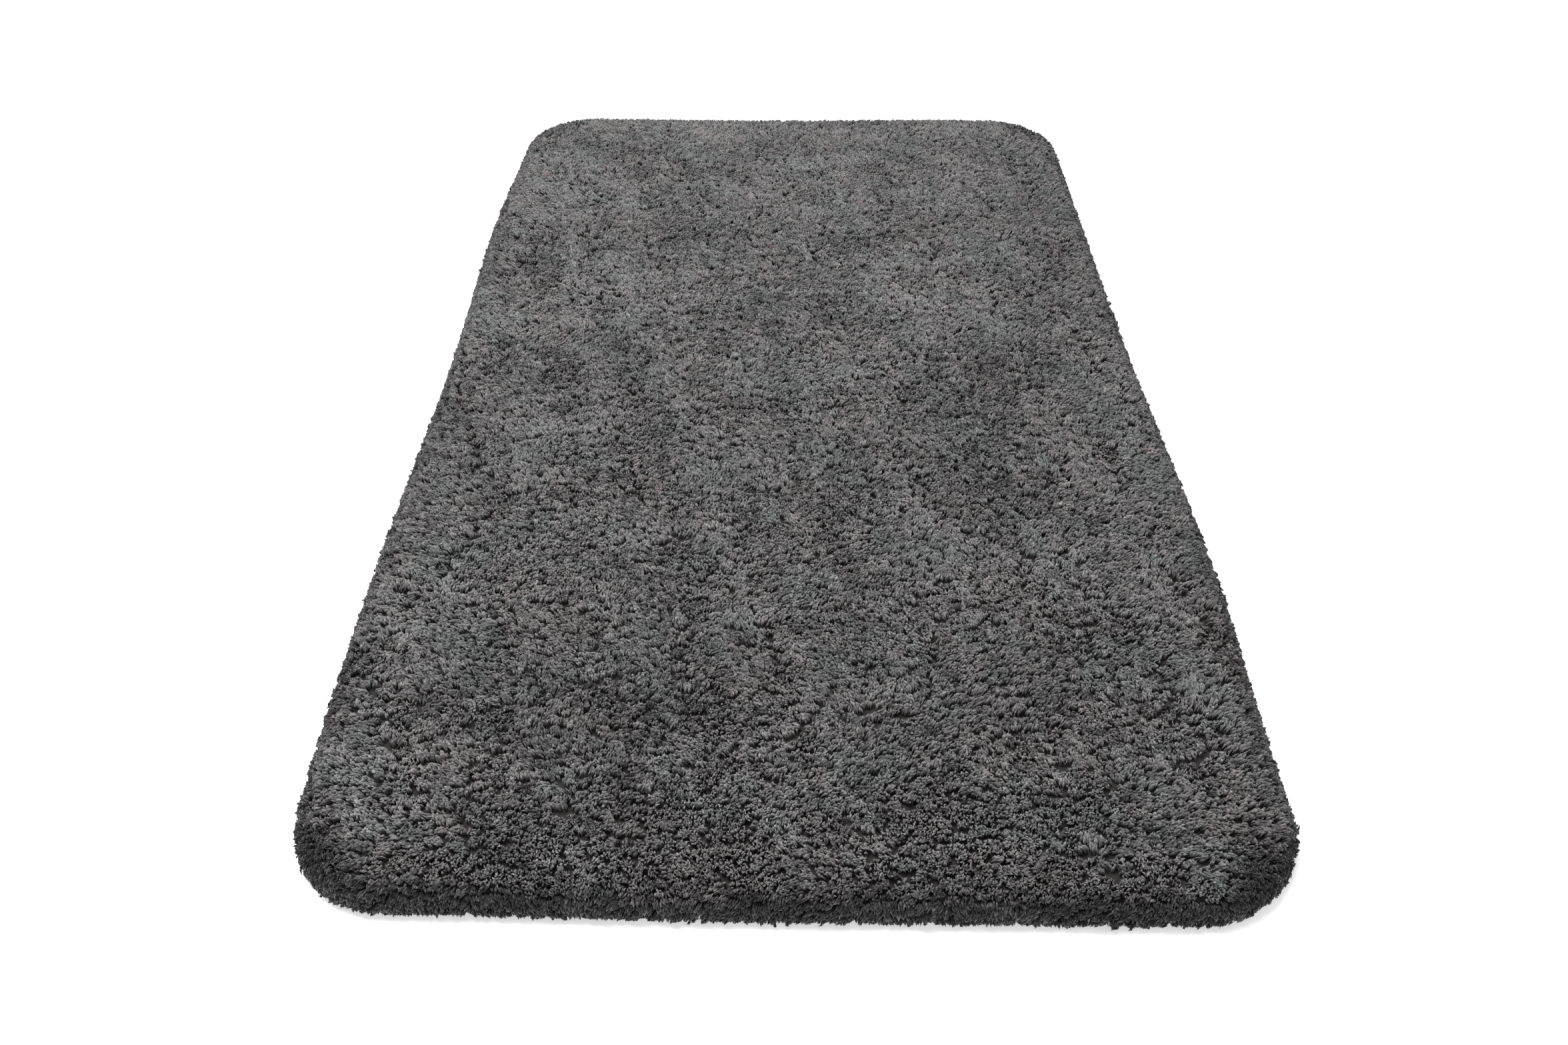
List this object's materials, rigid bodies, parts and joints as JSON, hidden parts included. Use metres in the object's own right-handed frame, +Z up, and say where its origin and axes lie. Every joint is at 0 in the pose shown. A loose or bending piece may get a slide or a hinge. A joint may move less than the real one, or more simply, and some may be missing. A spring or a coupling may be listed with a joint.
{
  "type": "bath mat",
  "caption": "Rectangular deep-pile tufted bath mat with round corners, an anti-slip coated back and a taped edge.",
  "frame": {"origin": "on the floor, under the middle of the mat", "axes": "+Z up out of the pile, +Y along the mat's length, +X across its width"},
  "size_m": [0.7, 1.2, 0.028],
  "materials": {
    "microfibre_yarn": "dark grey polyester microfibre, cut pile, soft sheen along the strands",
    "woven_backing": "grey polypropylene plain weave, matte",
    "precoat_latex": "cream latex, satin",
    "anti_slip_latex": "mid grey soft latex with raised dots, matte",
    "binding_tape": "near-black woven polyester tape, matte",
    "sewing_thread": "dark grey twisted polyester thread, slight sheen",
    "label_satin": "off-white satin ribbon, soft gloss"
  },
  "bodies": {
    "root": {"pile": "microfibre_yarn", "primary_backing": "woven_backing", "latex_precoat": "precoat_latex", "anti_slip_coat": "anti_slip_latex", "edge_binding": "binding_tape", "binding_seam_upper": "sewing_thread", "binding_seam_under": "sewing_thread", "care_label": "label_satin", "care_label_seam": "sewing_thread"}
  },
  "joints": []
}
